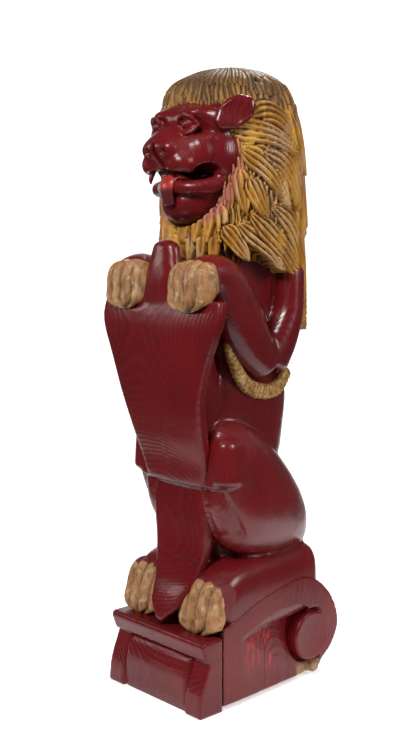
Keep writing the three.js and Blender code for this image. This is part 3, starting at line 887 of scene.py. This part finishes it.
# The near ear is a pointed leaf with a hollowed outer face, carved with the head and painted like it. The far
# one doesn't show in the photo: it is a mirror image, set closer to the head.
EAR_HOLLOW = 0.0125
EAR_HALF_WIDTH = 0.028
FAR_EAR_SHIFT = 1.6
EAR = [
    (11.9, -14.0, 125.6, 1.5, 1.8),
    (13.2, -12.7, 126.9, 1.8, 3.0),
    (14.7, -10.7, 128.5, 1.9, 3.6),
    (16.1, -8.7, 130.0, 1.6, 2.9),
    (16.8, -7.5, 130.9, 0.9, 1.4),
]


def dented(bm, stations, side):
    """A leaf whose outer face is hollowed."""
    before = len(bm.verts)
    limb(bm, stations, side, around=60, along=60)
    bm.verts.ensure_lookup_table()
    start = world_points([stations[0][:3]])[0]
    finish = world_points([stations[-1][:3]])[0]
    axis = finish - start
    length = np.linalg.norm(axis)
    axis = axis / length
    outward = np.array(side, float)
    outward -= axis * (outward @ axis)
    outward /= np.linalg.norm(outward)
    edge = np.cross(axis, outward)
    for vert in bm.verts[before:]:
        rest = np.array(vert.co) - start
        t, across, out = rest @ axis / length, rest @ edge / EAR_HALF_WIDTH, rest @ outward
        if out > 0:
            hollow = max(0.0, 1 - across**2) ** 0.7 * max(0.0, math.sin(math.pi * min(max(t, 0), 1)))
            vert.co -= Vector(outward * EAR_HOLLOW * hollow)


bm = bmesh.new()
for sign in (1, -1):
    lean = 0 if sign == 1 else FAR_EAR_SHIFT
    dented(bm, [(sign * (s[0] - lean), s[1] + lean, *s[2:]) for s in EAR], (sign * 0.8, -0.6, 0))
piece("lion_ears", bm, figure_paint)

# The tongue is carved in the same wood and painted a bright red. It rolls over the lower lip, and its hanging
# end is dark.
tongue_net = Net("red_tongue")
tongue_z = tongue_net.axes()[2]
scuffs = tongue_net.noise(60.0, 4)
tongue_red = tongue_net.mix(scuffs.span(0.4, 0.7), rgb(0.42, 0.02, 0.012), rgb(0.2, 0.012, 0.012))
tongue_paint = tongue_net.put(
    Base_Color=tongue_net.mix(tongue_z.span(1.285, 1.298), rgb(0.1, 0.008, 0.01), tongue_red),
    Roughness=0.3 + scuffs * 0.2,
    Coat_Weight=0.3,
    Normal=tongue_net.bump(scuffs, 0.001, 0.5),
)
bm = bmesh.new()
limb(
    bm,
    [
        (0.8, -13.0, 112.0, 2.4, 0.9),
        (0.8, -18.4, 113.0, 2.5, 1.0),
        (0.8, -20.4, 112.2, 2.4, 0.9),
        (0.8, -21.0, 110.0, 2.2, 0.8),
        (0.8, -20.2, 106.6, 1.8, 0.7),
    ],
)
piece("lion_tongue", bm, tongue_paint)

# At the front of the lower jaw a tooth has broken off to a small grey stump, carved with the jaw. Its wood is
# bare and weathered.
grey_net = Net("bare_grey_wood")
fibres = grey_net.noise(180.0, 4)
grey_wood = grey_net.put(
    Base_Color=grey_net.mix(fibres, rgb(0.13, 0.11, 0.1), rgb(0.42, 0.38, 0.35)),
    Roughness=0.8,
    Normal=grey_net.bump(fibres, 0.001, 0.8),
)
STUMP = [(-1.6, -20.2, 108.6, 0.6, 0.5), (-1.8, -20.9, 110.2, 0.7, 0.6), (-1.6, -21.1, 111.4, 0.4, 0.4)]
bm = bmesh.new()
limb(bm, STUMP, around=12, along=12)
piece("broken_tooth", bm, grey_wood)


# The mane is carved in leaves of hair that lie over each other, combed short on the crown, with a jagged hem.
# Its gilding has worn to ochre ridges, with bare pinkish patches beside the cheeks. Painted shade darkens
# the grooves to brown and the knot hole to near black, and the top of the crown is painted darker.
MANE = [
    (141, 1.2, 0.5, 0.5),
    (140.6, 1.2, 6.4, 6.2),
    (139.2, 1.0, 10.4, 10.0),
    (137.0, 0.5, 13.8, 13.5),
    (134.4, 0.6, 15.5, 15.2),
    (131.0, 1.0, 16.6, 16.1),
    (126.0, 1.6, 16.9, 16.4),
    (116, 2.0, 17.2, 16.6),
    (104, 2.2, 17.2, 16.8),
    (94, 2.4, 17.0, 16.8),
    (86, 2.8, 16.6, 16.8),
]
MANE_RADIUS = 17
KNOT_HOLE = (-2.6, 136.6)
FACE_MIDDLE = 116
FACE_HALF_WIDTH = 12.2
FACE_HALF_HEIGHT = 15.0
HEM_STARTS = 121
HEM = [(-28, 92), (-14, 94), (-4, 94), (3.5, 91), (7, 90), (9, 85), (11, 80), (13, 75), (28, 73)]
# A leaf of hair has a half width, a number of strands and a middle line of centimetres back and heights
LEAVES = [(3.8, 4, [(p, 92), (p + 0.8, 84), (p + 0.4, 74)]) for p in (16, 21.5, 27)]
LEAVES += [(2.2, 2, [(p, 102), (p + 0.5, 97), (p, 91.5)]) for p in (-27, -23.6, -20.2, -16.8)]
LEAVES += [(2.0, 2, [(p, 106.5), (p + 0.4, 102), (p, 97)]) for p in (-25, -21.5, -18, -14.6)]
LEAVES += [(3.9, 4, [(p, 107), (p + 1.5, 98), (p + 0.5, 86)]) for p in (18.5, 24)]
LEAVES += [(3.9, 4, [(p, 124), (p + 1.2, 114), (p, 100)]) for p in (16, 21.5, 27)]
LEAVES += [
    (3.1, 4, [(11.4, 106), (13.4, 98), (14.2, 90), (13.2, 76)]),
    (2.7, 4, [(-14.0, 101.5), (-10.6, 97), (-7.6, 92.5)]),
    (3.0, 4, [(-10.0, 102), (-4.6, 98), (-0.2, 94.4), (3.4, 88.5)]),
    (3.2, 4, [(-7.4, 104.6), (-1.5, 99.6), (4.2, 94.6), (8.6, 89), (11.2, 80.5)]),
    (2.5, 3, [(-9.9, 115), (-9.2, 110), (-8.4, 104)]),
    (3.1, 4, [(-0.8, 106.6), (5.7, 102.6), (9.4, 97.3), (11.6, 90), (12.2, 80)]),
    (2.9, 3, [(9.2, 121), (12.2, 114), (13.0, 107), (12.0, 98)]),
    (3.9, 5, [(-9.6, 120.2), (-3.6, 117), (0.9, 112.6), (4.6, 105.6)]),
    (3.2, 4, [(-3.6, 119.6), (2.8, 117.4), (6.9, 112.4), (8.6, 105)]),
    (2.9, 4, [(-7.4, 113), (-5.2, 108.4), (-2.6, 102.8)]),
    (3.0, 4, [(7.6, 131), (11.4, 124), (12.6, 114)]),
    (3.0, 4, [(-7.4, 127.6), (-0.8, 129), (4.4, 126.6), (8.4, 120)]),
    (3.2, 4, [(-12.4, 124.6), (-5.8, 124.2), (1.4, 122.8), (8.4, 119)]),
]
LINE_POINTS = 64
AROUND = np.linspace(0, 1, 400)
section = np.column_stack(squircle(math.pi * (AROUND + 1.5), 2.5)) * (MANE[-1][2], MANE[-1][3])
ARC = np.concatenate([[0], np.cumsum(np.hypot(*np.diff(section, axis=0).T))])
ARC += 2.0 - np.interp(0.5, AROUND, ARC)


def chance(index):
    """A share from 0 to 1 that jumps about from one whole number to the next."""
    return (np.sin(index * 12.9898 + 37.719) * 43758.5453) % 1.0


def strokes_of_hair(column, row):
    """Height and strand of short overlapping strokes in columns, each column set at its own height."""
    index = np.floor(column)
    along = (row + chance(index)) % 1.0
    local = 2 * (column - index) - 1 + 0.3 * np.sin(along * 3 + index * 2.3)
    held = 1 - np.clip(np.abs(local) / (1.15 * (1 - along**3) ** 0.6 + 1e-3), 0, 1) ** 2
    return 0.12 + 0.3 * held * (0.4 + 0.6 * along), np.abs(np.cos(local * math.pi * 0.9)) ** 0.6


def lie_on(leaf, back, height, relief, strand):
    """Lays one leaf of hair over the relief that is already there."""
    half, count, line = leaf
    points = catmull(line, np.linspace(0, 1, LINE_POINTS))
    low, top = points.min(axis=0) - half, points.max(axis=0) + half
    close = np.nonzero((back > low[0]) & (back < top[0]) & (height > low[1]) & (height < top[1]))[0]
    back, height = back[close], height[close]
    ahead = np.gradient(points, axis=0)
    step = np.hypot(*ahead.T)
    gap = (back[:, None] - points[:, 0]) ** 2 + (height[:, None] - points[:, 1]) ** 2
    near = gap.argmin(axis=1)
    tangent = (ahead / step[:, None])[near]
    off = np.column_stack([back, height]) - points[near]
    along = (near + (off * tangent).sum(axis=1) / step[near]) / (LINE_POINTS - 1)
    held = np.clip(along, 0, 1)
    reach = half * np.clip(held / 0.2, 0, 1) ** 0.5 * (1 - held**3.2) ** 0.75 + 1e-3
    local = (off[:, 0] * tangent[:, 1] - off[:, 1] * tangent[:, 0]) / reach
    inside = (along > 0) & (along < 1) & (np.abs(local) < 1)
    rise = (0.42 + 0.58 * held) * (1 - 0.75 * np.abs(local) ** 5)
    fine = np.abs(np.sin((local * 0.5 + 0.5) * math.pi * count)) ** 0.8
    relief[close[inside]] = rise[inside]
    strand[close[inside]] = fine[inside]


def mane_skin(u, v):
    """Points of the mane, with its relief, strands and worn edge beside the face."""
    inner = 0.05
    down = np.clip(v / (1 - inner), 0, 1)
    under = np.clip((v - 1 + inner) / inner, 0, 1)
    height, y, rx, ry = catmull(MANE, down**0.8).T
    share = np.clip((HEM_STARTS - height) / (HEM_STARTS - MANE[-1][0]), 0, 1)
    around = np.abs(u - 0.5) * 2
    a, b = squircle(2 * math.pi * u + math.pi / 2, 2.5)
    back = np.interp(around, AROUND, ARC)
    hem = np.interp(back, *np.array(HEM).T)
    z = np.where(height > HEM_STARTS, height, HEM_STARTS + (hem - 1.5 - HEM_STARTS) * share)
    relief, strand = strokes_of_hair(back / 1.8, z / 5.5)
    crown, combed = strokes_of_hair(around * 19, z / 5)
    high = z > 131.5 - 4 * np.clip((back + 6) / 12, 0, 1)
    relief, strand = np.where(high, crown * 0.8, relief), np.where(high, combed, strand)
    for leaf in LEAVES:
        lie_on(leaf, back, z, relief, strand)
    bare = np.clip((hem + 3 * np.abs(np.sin(back * 1.4)) - z) / 0.6, 0, 1) * (relief < 0.43)
    out = 1 + (2.3 * (relief - 0.55) + 0.95 * (strand - 0.5) - 3.5 * bare) / MANE_RADIUS
    out = out * (1 - 0.3 * under) * np.where(v <= 0, 0.0, 1.0)
    x, y = a * rx * out, y + b * ry * out
    oval = np.hypot(x / FACE_HALF_WIDTH, (z - FACE_MIDDLE) / FACE_HALF_HEIGHT)
    drawn = (1 - np.clip((oval - 0.86) / 0.14, 0, 1)) * (y < 0) * 11
    knot = np.exp(-(((y - KNOT_HOLE[0]) / 1.5) ** 2) - ((z - KNOT_HOLE[1]) / 0.7) ** 2) * (x > 0)
    place = np.column_stack([x * (1 - drawn / MANE_RADIUS - knot * 0.07), y + drawn, z + under * 2])
    edge = np.clip(1 - np.abs(oval - 1.08) / 0.26, 0, 1) * (y < -4) * np.clip((z - 98) / 6, 0, 1) * (z < 127)
    return place, relief, strand, edge, knot


mane_net = Net("worn_gilding")
x, y, z = mane_net.axes()
ridge = mane_net.attribute("ridge")
strand = mane_net.attribute("strand")
worn = mane_net.noise(9.0, 5, distortion=0.8)
scrape = mane_net.noise(42.0, 4, mane_net.vector(x, y, z * 0.3))
fleck = mane_net.noise(150.0, 3, mane_net.vector(x, y, z * 0.4))
gold = mane_net.mix(scrape.span(0.35, 0.65), rgb(0.36, 0.15, 0.018), rgb(0.58, 0.3, 0.05))
gold = mane_net.mix((worn + scrape * 0.5 + ridge * 0.1).span(0.78, 0.95) * 0.6, gold, rgb(0.5, 0.31, 0.17))
hollow = 1.0 - (ridge * 0.4 + strand * 0.6)
# Painted shade: the grooves between the strands are painted dark brown, the deeper the darker.
groove_shade = (hollow + (fleck - 0.5) * 0.6 + (worn - 0.5) * 0.6).span(0.32, 0.62)
gold = mane_net.mix(groove_shade * 0.92, gold, rgb(0.085, 0.036, 0.014))
# The top of the crown is painted darker brown.
darker_crown = (z + worn * 0.12).span(1.5, 1.62)
gold = mane_net.mix(darker_crown * 0.8, gold, rgb(0.08, 0.04, 0.018))
rubbed = mane_net.attribute("cheek") * (scrape + 0.35)
gold = mane_net.mix(rubbed.span(0.3, 0.8), gold, rgb(0.44, 0.15, 0.1))
# Painted shade: the knot hole is only a shallow dent, painted near black for the shade inside it.
gold = mane_net.mix(mane_net.attribute("knot"), gold, rgb(0.02, 0.01, 0.006))
mane_paint = mane_net.put(
    Base_Color=gold,
    Roughness=0.26 + fleck * 0.2 + hollow * 0.45,
    Metallic=0.1,
    Specular_IOR_Level=0.3,
    Normal=mane_net.bump(fleck * 0.6 + scrape * 0.8, 0.0022, 0.8),
)

bm = bmesh.new()
layers = [bm.verts.layers.float.new(name) for name in ("ridge", "strand", "cheek", "knot")]
made = bmesh.ops.create_grid(bm, x_segments=440, y_segments=215, size=1)["verts"]
flat = np.array([v.co[:2] for v in made])
places, *shares = mane_skin((flat[:, 0] + 1) / 2, (flat[:, 1] + 1) / 2)
for vert, point, values in zip(made, world_points(places), zip(*shares)):
    vert.co = point
    for layer, value in zip(layers, values):
        vert[layer] = value
bmesh.ops.remove_doubles(bm, verts=made, dist=1e-5)
rim = [e for e in bm.edges if e.is_boundary]
bmesh.ops.holes_fill(bm, edges=rim, sides=0)
piece("lion_mane", bm, mane_paint)


# The plinth is a core behind a moulded front: a rounded nosing over a hollow, and a swelling cushion between
# two raised borders. It is glued up of planks, painted like the figure.
def from_cad(name):
    """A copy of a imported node's mesh with its corners merged."""
    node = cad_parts[name]
    bm = bmesh.new()
    bm.from_mesh(node.data)
    bm.transform(node.matrix_world)
    bmesh.ops.remove_doubles(bm, verts=bm.verts, dist=1e-5)
    return bm


plinth_paint = maroon_paint("maroon_plinth", pith=(0.05, 0.4), tilt=0.02, tint=0.9)
CUSHION_HALF_WIDTH = 0.1175
CUSHION_TOP = 0.1375
CUSHION_FACE = -0.213
CUSHION_SWELL = 0.038
SWELL_MIDDLE = 0.05
SWELL_HALF_HEIGHT = 0.09
FRONT_FROM = -0.2
SIDE_FADE = 0.004
plinth = piece("plinth_body", from_cad("plinth"), plinth_paint, voxel=0.004, smooth=3)
for vert in plinth.data.vertices:
    if abs(vert.co.x) < CUSHION_HALF_WIDTH and vert.co.y < FRONT_FROM and vert.co.z < CUSHION_TOP:
        swell = math.sqrt(max(0.0, 1 - ((vert.co.z - SWELL_MIDDLE) / SWELL_HALF_HEIGHT) ** 2))
        side = min((CUSHION_HALF_WIDTH - abs(vert.co.x)) / SIDE_FADE, 1)
        vert.co.y += side * (CUSHION_FACE - CUSHION_SWELL * swell - vert.co.y)
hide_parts("plinth")

# A scroll board is let in on each side. Its band sweeps up and round a volute, and the side is hollowed out
# behind the band; the volute's lower edge is broken, and shows bare wood.
board_paint = maroon_paint(
    "maroon_boards",
    pith=(0.4, 0.05),
    tilt=0.02,
    splits=[
        ("y", -0.026, 0.0014, {"z": (-0.01, 0.2)}),
        ("y", 0.07, 0.0011, {"z": (-0.01, 0.2)}),
        ("y", -0.1775, 0.0026, {"z": (-0.01, 0.26)}),
    ],
    touched_up=((-0.11, 0.02), (0.06, 0.18)),
    bare=((0.1, 0.2), (0.03, 0.052)),
)
EYE = (0.156, 0.115)
EYE_RADIUS = 0.058
DISH_DEPTH = 0.004
GAP_RADIUS = 0.071
GAP_WIDTH = 0.004
GAP_DEPTH = 0.02
GAP_BACK = 0.03
OUTER_FROM = 0.125
OUTER_FADE = 0.02
for name, sign in (("left_scroll_board", 1), ("right_scroll_board", -1)):
    board = piece(name + "_carved", from_cad(name), board_paint, voxel=0.0035, smooth=3)
    for vert in board.data.vertices:
        reach = math.hypot(vert.co.y - EYE[0], vert.co.z - EYE[1])
        outer = min(max((abs(vert.co.x) - OUTER_FROM) / OUTER_FADE, 0), 1)
        dish = max(0.0, 1 - (reach / EYE_RADIUS) ** 2) * DISH_DEPTH
        round_eye = vert.co.y < EYE[0] + GAP_BACK
        gap = math.exp(-(((reach - GAP_RADIUS) / GAP_WIDTH) ** 2)) * GAP_DEPTH * round_eye
        vert.co.x -= sign * outer * (dish + gap)
    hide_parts(name)
